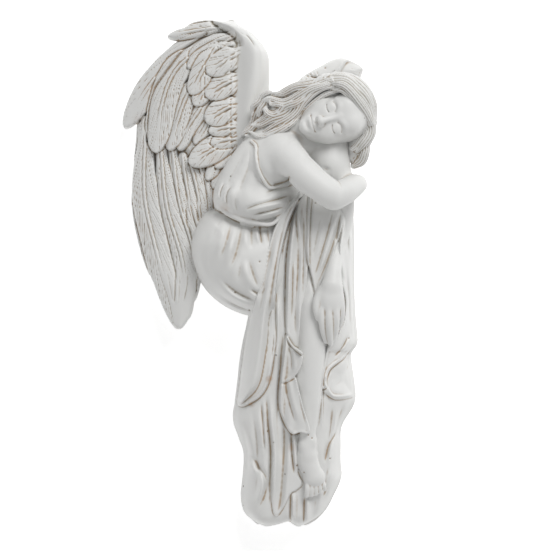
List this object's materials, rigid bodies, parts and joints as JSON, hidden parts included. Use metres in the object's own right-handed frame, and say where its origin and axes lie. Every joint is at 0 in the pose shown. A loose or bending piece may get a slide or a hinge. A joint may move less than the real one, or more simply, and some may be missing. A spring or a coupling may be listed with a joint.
{
  "type": "sleeping angel statue",
  "caption": "Sleeping winged angel in a long gown, seated with the head resting on folded arms over a draped knee, cast in one piece with a flat back.",
  "frame": {"origin": "middle of the bounding box on the flat back", "axes": "+Z out of the flat back towards the viewer of the front, +Y from the hem to the head along the length, +X to the viewer's right as the front is looked at"},
  "size_m": [0.1512, 0.3008, 0.0838],
  "materials": {
    "white_resin": "matt off-white cast resin with a brown antique wash in its creases"
  },
  "bodies": {
    "root": {"sleeping_angel": "white_resin"}
  },
  "joints": []
}
